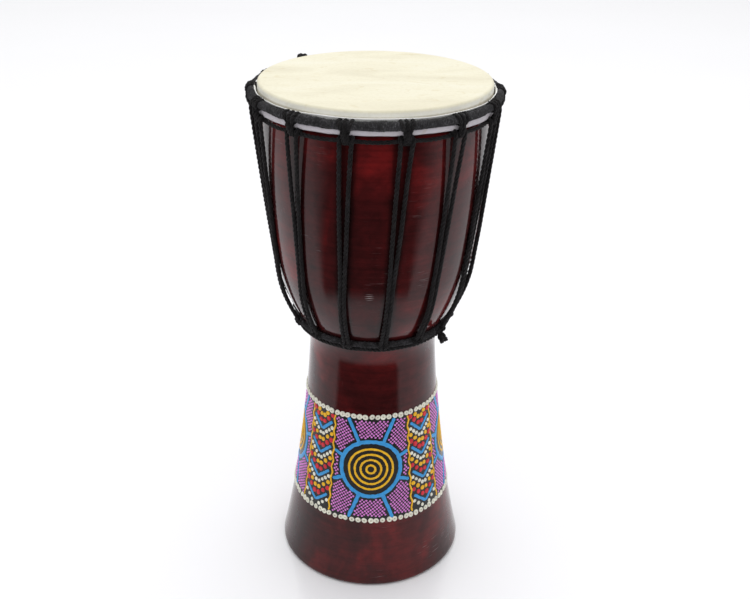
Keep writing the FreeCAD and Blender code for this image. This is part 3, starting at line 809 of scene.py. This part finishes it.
def build_base_hitch(index):
    """A flat turn of rope on each side of the run's two ends, joined by a bar under them."""
    rope = 1.0
    points = []
    for side in (-1, 1):
        turns = (200, 150, 100, 50, 10, -30, -70, -110)
        for angle in np.radians(turns if side == -1 else turns[::-1]):
            orbit = BASE_RADIUS + rope * (0.9 - 0.6 * max(0.0, math.sin(angle)))
            points.append((side * (3.9 + 0.6 * math.sin(angle)), *past_ring(BASE, orbit, angle)))
        if side == -1:
            bar_height = BASE_HEIGHT - BASE_RADIUS - rope - 0.6
            points += [(along, BASE_REACH + 0.2, bar_height) for along in (-2.4, 2.4)]
    route = set_round(points, BASE_FIRST + PITCH * index)
    verts, faces, uv = twisted_rope(smooth_path(route, 0.7), rope, 7.0, phase=index * 1.3)
    verts = press_round(verts, BASE, firm=0.45, soft=0.55)
    verts = press_round(verts, BASE_ROPE, firm=0.4, soft=0.55)
    verts = push_outwards(verts, shell_radius(verts[:, 2]) + 0.05)
    add_rope("base_hitch_rope_%02d" % (index + 1), (verts, faces, uv), ["base_hitch_%02d" % (index + 1)])


def ring_rope(name, node, reach, height, radius, sway_out, sway_up, first):
    """A closed rope round the drum that dips and swells once between hitches."""
    degrees = all_round(HITCHES * 40, 360)
    wave = np.radians((degrees - first) * HITCHES)
    path = around(reach + sway_out * np.cos(wave), degrees, height + sway_up * np.cos(wave))
    path = even_path(np.vstack([path, path[:1]]), 0.8, closed=True)
    add_rope(name, twisted_rope(path, radius, 10.5, closed=True), [node])


for number in range(HITCHES):
    build_crown_hitch(number)
    build_run(number)
    build_base_hitch(number)
ring_rope("crown_link_rope_laid", "crown_link_rope", LINK_REACH, LINK_HEIGHT, LINK_RADIUS, 0.1, 0.35,
          CROWN_FIRST)
ring_rope("base_rope_laid", "base_rope", BASE_ROPE_REACH + 0.5, BASE_ROPE_HEIGHT - 0.7, 1.9, -0.2, -0.3,
          BASE_FIRST)
build_shell()


def overhand_knot(middle, axis, along, size, rope):
    """A closed-up overhand knot; axis is the way the rope comes in and goes on."""
    across = np.cross(axis, along)
    loop = []
    for t in np.linspace(0, 2 * math.pi, 22)[1:-1]:
        big, small = math.sin(t) + 2 * math.sin(2 * t), math.cos(t) - 2 * math.cos(2 * t)
        loop.append(middle + size * (along * big * 0.9 + axis * small - across * math.sin(3 * t) * 1.35))
    route = [middle - axis * 4.3 * size] + loop + [middle + axis * 1.2 * size]
    return twisted_rope(smooth_path(route, 0.5), rope, 6.0)


def build_tail():
    """The lacing rope's free end: out from under the base ring and into an overhand knot."""
    out = around(1.0, TAIL_ANGLE, 0.0)
    along_ring = np.array([-out[1], out[0], 0.0])
    stem = [out * reach + [0, 0, z] for reach, z in ((58.6, 217.6), (60.9, 216.9), (63.9, 214.5))]
    add_rope("rope_tail_laid", twisted_rope(smooth_path(stem, 0.6), 1.5, 8.0), ["rope_tail"])
    axis = out * 0.62 + np.array([0, 0, -0.785])
    knot = overhand_knot(out * 66.5 + [0, 0, 212.9], axis, along_ring, 0.95, 1.8)
    add_rope("tail_knot_laid", knot, ["tail_knot"])


def build_tie_knot():
    """The knot that ties the lacing off, on top of one crown hitch at the back."""
    out = around(1.0, CROWN_FIRST + PITCH * 9 + 0.6, 0.0)
    along_ring = np.array([-out[1], out[0], 0.0])
    middle = out * (CROWN_REACH + 1.3) + [0, 0, CROWN_HEIGHT + 6.2]
    add_rope("crown_tie_knot", overhand_knot(middle, along_ring, out, 1.0, 1.45))


build_tail()
build_tie_knot()


# --- painted band -------------------------------------------------------------------------------------------
# A dot-painted band with a plain repeating pattern, not the painting of the real drum: four targets of even
# rings with straight spokes and cells full of dots, and chevrons of dots between them.  Paint stands proud of
# the lacquer.
BAND_LOW, BAND_HIGH = 58.3, 148.7
PAINT_LIFT = 0.04
TARGETS = 4
TARGET_HEIGHT = 103.5
TARGET_RADIUS = 24.0
CELL_DEGREES = 32.0
CHEVRON_DEGREES, CHEVRON_PITCH = 10.5, 5.4


class Paint:
    """All the strokes and dots of one colour, kept as one mesh."""

    def __init__(self, name, material):
        self.name, self.material = name, material
        self.parts = []

    # hollow marks where a dot's hollow takes painted shade
    def add(self, verts, faces, hollow=0.0):
        self.parts.append((verts, faces, np.column_stack(np.broadcast_arrays(hollow, np.zeros(len(verts))))))

    def finish(self):
        verts, faces, uv = join(self.parts)
        add_piece(self.name, verts, faces, self.material, uv=uv)


def surface_normals(points):
    reach = np.hypot(points[:, 0], points[:, 1])
    tilt = shell_radius(points[:, 2] + 0.5) - shell_radius(points[:, 2] - 0.5)
    return unit(np.stack([points[:, 0] / reach, points[:, 1] / reach, -tilt], axis=1))


def beside(centre, x, z):
    """Angle of a point x mm to the right of an upright line on the shell."""
    return centre + np.degrees(np.asarray(x) / shell_radius(z))


def wobble(count, size, length):
    """A smooth random line: the unsteadiness of a hand."""
    knots = RANDOM.normal(0, size, int(count / length) + 4)
    return np.interp(np.arange(count), np.arange(len(knots)) * length, knots)


def stroke(paint_pot, degrees, z, half_width, height, closed=False):
    """A line of paint, domed across, its edges uneven and its ends round."""
    points = around(shell_radius(z), degrees, z)
    count = len(points)
    normals = surface_normals(points)
    sides = unit(np.cross(normals, headings(points, closed)))
    left = half_width * (1 + wobble(count, 0.13, 2.5))
    right = half_width * (1 + wobble(count, 0.13, 2.5))
    if not closed:
        step = np.linalg.norm(np.diff(points, axis=0), axis=1).mean()
        from_end = np.minimum(np.arange(count), np.arange(count)[::-1]) * step
        cap = np.sqrt(np.clip(1 - (1 - np.clip(from_end / half_width, 0, 1)) ** 2, 0.02, 1))
        left, right = left * cap, right * cap
    section = [(-1.0, -0.12), (-0.93, 0.45), (-0.6, 0.86), (0.0, 1.0)]
    section += [(-across, up) for across, up in section[-2::-1]]
    verts = []
    for across, up in section:
        width = left if across < 0 else right
        verts.append(points + sides * (across * width)[:, None] + normals * (up * height + PAINT_LIFT))
    verts = np.stack(verts, axis=1).reshape(-1, 3)
    paint_pot.add(verts, grid_faces(count, len(section), close_rows=closed, close_columns=False))


def dots(paint_pot, degrees, z, radius, height, sides, dimple=0.0):
    """Drops of paint; a dimple is where the stick lifted off."""
    centres = around(shell_radius(z), degrees, z)
    normals = surface_normals(centres)
    level = unit(np.cross([0.0, 0.0, 1.0], normals))
    upright = np.cross(normals, level)
    hollow = 1.0 - dimple
    profile = [(1.0, -0.1), (0.82, 0.62), (0.40, 1.0)]
    if dimple:
        profile = [(1.0, -0.1), (0.96, 0.40), (0.80, 0.88), (0.60, 1.0), (0.38, 0.45 + 0.55 * hollow),
                   (0.18, hollow)]
    for centre, normal, across, up in zip(centres, normals, level, upright):
        size = radius * RANDOM.uniform(0.90, 1.08)
        lean = RANDOM.uniform(0, 2 * math.pi)
        stretch = 1 + RANDOM.uniform(0, 0.10) * np.cos(2 * (all_round(sides) - lean))
        angles = all_round(sides) + lean
        spokes = across * np.cos(angles)[:, None] + up * np.sin(angles)[:, None]
        rings = []
        for reach, rise in profile:
            out = spokes * (reach * size * stretch)[:, None]
            rings.append(centre + out + normal * (rise * height + PAINT_LIFT))
        verts = np.vstack(rings + [[centre + normal * (height * hollow + PAINT_LIFT)]])
        faces = grid_faces(len(profile), sides)
        top, last = len(verts) - 1, (len(profile) - 1) * sides
        faces += [[last + i, last + (i + 1) % sides, top] for i in range(sides)]
        # a dimple's inner rings and centre take the painted shade of the hollow
        inner = np.repeat([reach < 0.3 for reach, _ in profile], sides)
        paint_pot.add(verts, faces, np.append(inner, True) * (dimple > 0.5))


def dotted_line(paint_pot, degrees, z, radius):
    """Dots one after another along a line given by angles and heights."""
    lengths = lengths_along(around(shell_radius(z), degrees, z))
    count = max(2, int(round(lengths[-1] / (2.02 * radius))))
    stations = np.linspace(0, lengths[-1], count) + RANDOM.normal(0, 0.06 * radius, count)
    dots(paint_pot, np.interp(stations, lengths, degrees), np.interp(stations, lengths, z), radius, 0.6,
         sides=11, dimple=0.25)


def paint_band():
    """The band's ground, borders and pattern."""
    cream = Paint("paint_cream_dots", PAINT_WHITE)
    yellow = Paint("paint_yellow_strokes", PAINT_YELLOW)
    red = Paint("paint_red_dots", PAINT_RED)
    blue = Paint("paint_blue_strokes", PAINT_BLUE)
    orchid = Paint("paint_orchid_dots", PAINT_ORCHID)

    heights = np.linspace(BAND_LOW, BAND_HIGH, 40)
    heights = np.concatenate([[BAND_LOW - 0.2], heights, [BAND_HIGH + 0.2]])
    lifts = np.concatenate([[-0.05], np.full(40, 0.06), [-0.05]])
    ground, faces = lathe(np.column_stack([shell_radius(heights) + lifts, heights]), SEGMENTS)
    add_piece("paint_ground", ground, faces, PAINT_BLACK, uv=np.zeros((len(ground), 2)))

    for z, count in ((BAND_HIGH, 71), (BAND_LOW, 82)):
        degrees = np.arange(count) * 360 / count + RANDOM.normal(0, 0.35, count)
        dots(cream, degrees, z + RANDOM.normal(0, 0.15, count), 2.25, 0.9, sides=14, dimple=0.8)

    for number in range(TARGETS):
        centre = number * 360 / TARGETS
        lines = paint_target(centre, yellow, blue)
        fill_cells(centre, lines, orchid)
        paint_chevrons(centre + 180 / TARGETS, cream, yellow, red, blue)
    for pot in (cream, yellow, red, blue, orchid):
        pot.finish()


def cell_reach(z):
    """How far the cells reach to either side of a target's middle at a height."""
    return np.radians(CELL_DEGREES) * shell_radius(z)


def paint_target(centre, yellow, blue):
    """Even rings, straight spokes and zigzag borders; gives back the lines' points and half widths."""
    lines = []

    def line(pot, x, z, half, height, room=0.0, closed=False):
        stroke(pot, beside(centre, x, z), z, np.full(len(x), half), height, closed)
        lines.append((x, z, half + room))

    angle = all_round(200)
    for pot, reach, half in ((yellow, 3.5, 0.9), (yellow, 8.2, 0.9), (yellow, 12.9, 0.9), (yellow, 17.6, 0.9),
                             (blue, TARGET_RADIUS, 1.65)):
        line(pot, reach * np.cos(angle), TARGET_HEIGHT + reach * np.sin(angle), half, 0.5, closed=True)
    for heading in np.radians(np.arange(8) * 45 + 22.5):
        out = np.arange(TARGET_RADIUS, 70, 0.8)
        x, z = out * math.cos(heading), TARGET_HEIGHT + out * math.sin(heading)
        inside = (np.abs(x) < cell_reach(z) - 1) & (z > BAND_LOW + 1) & (z < BAND_HIGH - 1)
        line(blue, x[inside], z[inside], 1.5, 0.45)
    z = np.linspace(BAND_LOW + 2.5, BAND_HIGH - 2.5, 240)
    zigzag = 3.2 * np.abs((z - BAND_LOW) / 10.5 % 1 - 0.5) - 0.8
    for side in (-1, 1):
        line(yellow, side * (cell_reach(z) + zigzag), z, 0.75, 0.5, room=0.05)
    return lines


def fill_cells(centre, lines, orchid):
    """Small dots in slanting rows wherever no line runs."""
    steps = np.arange(-60, 61) * 2.2
    u, v = np.meshgrid(steps, steps)
    slant = math.radians(38)
    x = (u * math.cos(slant) - v * math.sin(slant)).ravel()
    z = (u * math.sin(slant) + v * math.cos(slant)).ravel() + TARGET_HEIGHT
    keep = (np.abs(x) < cell_reach(z) - 1.5) & (z > BAND_LOW + 3.4) & (z < BAND_HIGH - 3.4)
    keep &= np.hypot(x, z - TARGET_HEIGHT) > TARGET_RADIUS
    x, z = x[keep], z[keep]
    clear = np.ones(len(x), dtype=bool)
    for line_x, line_z, half in lines:
        gap = np.hypot(x[:, None] - line_x[None, :], z[:, None] - line_z[None, :]).min(axis=1)
        clear &= gap > half + 1.25
    x, z = x[clear], z[clear]
    x = x + RANDOM.normal(0, 0.07, len(x))
    z = z + RANDOM.normal(0, 0.07, len(z))
    dots(orchid, beside(centre, x, z), z, 0.93, 0.38, sides=7)


def paint_chevrons(centre, cream, yellow, red, blue):
    """Stacked chevrons of red, yellow and cream dots with a blue line after every three."""
    kinds = [(red, 2.1), (yellow, 1.9), (cream, 1.6), (blue, None)]
    for number in range(18):
        pot, radius = kinds[number % 4]
        for side in (-1, 1):
            turn = np.linspace(radius or 0.0, CHEVRON_DEGREES, 60)
            z = BAND_LOW - 10 + CHEVRON_PITCH * number + 0.9 * turn
            inside = (z > BAND_LOW + 4.0) & (z < BAND_HIGH - 4.0)
            if inside.sum() < 20:
                continue
            degrees, z = centre + side * turn[inside], z[inside]
            if radius is None:
                stroke(pot, degrees, z, np.full(len(z), 1.2), 0.45)
            else:
                dotted_line(pot, degrees, z, radius)


paint_band()


# --- stage, light, camera -----------------------------------------------------------------------------------
def stage_piece(name, verts, faces, material):
    mesh = bpy.data.meshes.new(name)
    mesh.from_pydata(verts, [], faces)
    mesh.materials.append(material)
    piece = bpy.data.objects.new(name, mesh)
    bpy.context.scene.collection.objects.link(piece)
    return piece


def floor_material():
    m = Nodes("pale_floor")
    uneven = m.noise(m.place, 2.0, detail=2)
    m.shade(Base_Color=m.ramp(uneven, [(0.3, (0.925, 0.925, 0.95)), (0.7, (0.94, 0.94, 0.965))]),
            Roughness=0.16, Specular_IOR_Level=0.6)
    return m.material


def dark_card_material():
    m = Nodes("dark_card")
    uneven = m.noise(m.place, 5.0, detail=2)
    m.shade(Base_Color=m.ramp(uneven, [(0.3, (0.012, 0.010, 0.010)), (0.7, (0.016, 0.014, 0.014))]),
            Alpha=m.add("ShaderNodeAttribute", attribute_name="cover").outputs["Fac"],
            Roughness=0.9, Specular_IOR_Level=0.1)
    return m.material


def area_light(name, place, target, size, power):
    light = bpy.data.lights.new(name, "AREA")
    light.shape = "RECTANGLE"
    light.size, light.size_y = size
    light.energy = power
    lamp = bpy.data.objects.new(name, light)
    bpy.context.scene.collection.objects.link(lamp)
    lamp.location = place
    lamp.rotation_euler = (Vector(target) - Vector(place)).to_track_quat("-Z", "Y").to_euler()
    return lamp


def dark_card():
    """A card on the floor before the drum, its edges faded: only the lacquer's gloss sees it."""
    reaches = np.concatenate([np.linspace(0.20, 0.60, 41), np.linspace(0.65, 3.4, 56)])[:, None]
    degrees = np.linspace(-75, 75, 151)[None, :]
    far = np.clip((reaches - 0.35) / 0.5, 0, 1)
    left, right, blur = -60 + 6 * far, 42 + 12 * far, 3 + 12 * far
    cover = ease(reaches, 0.24, 0.36) * (1 - ease(reaches, 2.6, 3.3))
    cover = cover * ease(degrees, left - blur, left + blur) * (1 - ease(degrees, right - blur, right + blur))
    verts = around(reaches, degrees, 0.002).reshape(-1, 3)
    faces = grid_faces(reaches.size, degrees.size, close_columns=False)
    card = stage_piece("dark_card", verts.tolist(), faces, dark_card_material())
    layer = card.data.attributes.new("cover", "FLOAT", "POINT")
    layer.data.foreach_set("value", cover.ravel().astype(np.float32))
    card.visible_camera = card.visible_diffuse = card.visible_shadow = False


FLOOR_CORNERS = [(-12, -12, 0), (12, -12, 0), (12, 12, 0), (-12, 12, 0)]
stage_piece("floor", FLOOR_CORNERS, [(0, 1, 2, 3)], floor_material())
dark_card()
area_light("box_top", (0, 1.2, 2.6), (0, 0.8, 0), (4.0, 4.0), 40)
fill = area_light("box_front", (0.2, -2.2, 1.3), (0, 0, 0.25), (2.4, 1.6), 10)
fill.visible_glossy = False

# The tent round the drum is brightest overhead and behind.
TENT_LEAN, TENT_LEVEL = (0.0, 0.25, 0.45), 0.50
world = bpy.data.worlds.new("studio")
world.use_nodes = True
sky = world.node_tree
toward = sky.nodes.new("ShaderNodeTexCoord")
lean = sky.nodes.new("ShaderNodeVectorMath")
lean.operation = "DOT_PRODUCT"
lean.inputs[1].default_value = TENT_LEAN
level = sky.nodes.new("ShaderNodeMath")
level.operation = "ADD"
level.inputs[1].default_value = TENT_LEVEL
sky.links.new(toward.outputs["Generated"], lean.inputs[0])
sky.links.new(lean.outputs["Value"], level.inputs[0])
sky.links.new(level.outputs["Value"], sky.nodes["Background"].inputs["Strength"])
sky.nodes["Background"].inputs["Color"].default_value = (1, 1, 1, 1)
bpy.context.scene.world = world
bpy.context.scene.view_settings.view_transform = "Standard"

# The photograph's point of view: metres, radians, and millimetres for the lens.
CAMERA_PLACE = (0, -0.7102, 0.5828)
CAMERA_PAN, CAMERA_DOWN, CAMERA_ROLL = -0.0022, 0.4675, 0.0134
LENS, SENSOR = 48.68, 36
camera_data = bpy.data.cameras.new("camera")
camera_data.sensor_width = SENSOR
camera_data.lens = LENS
camera = bpy.data.objects.new("camera", camera_data)
bpy.context.scene.collection.objects.link(camera)
camera.location = CAMERA_PLACE
pan, roll = Matrix.Rotation(CAMERA_PAN, 4, "Z"), Matrix.Rotation(CAMERA_ROLL, 4, "Z")
camera.rotation_euler = (pan @ Matrix.Rotation(math.pi / 2 - CAMERA_DOWN, 4, "X") @ roll).to_euler()
bpy.context.scene.camera = camera
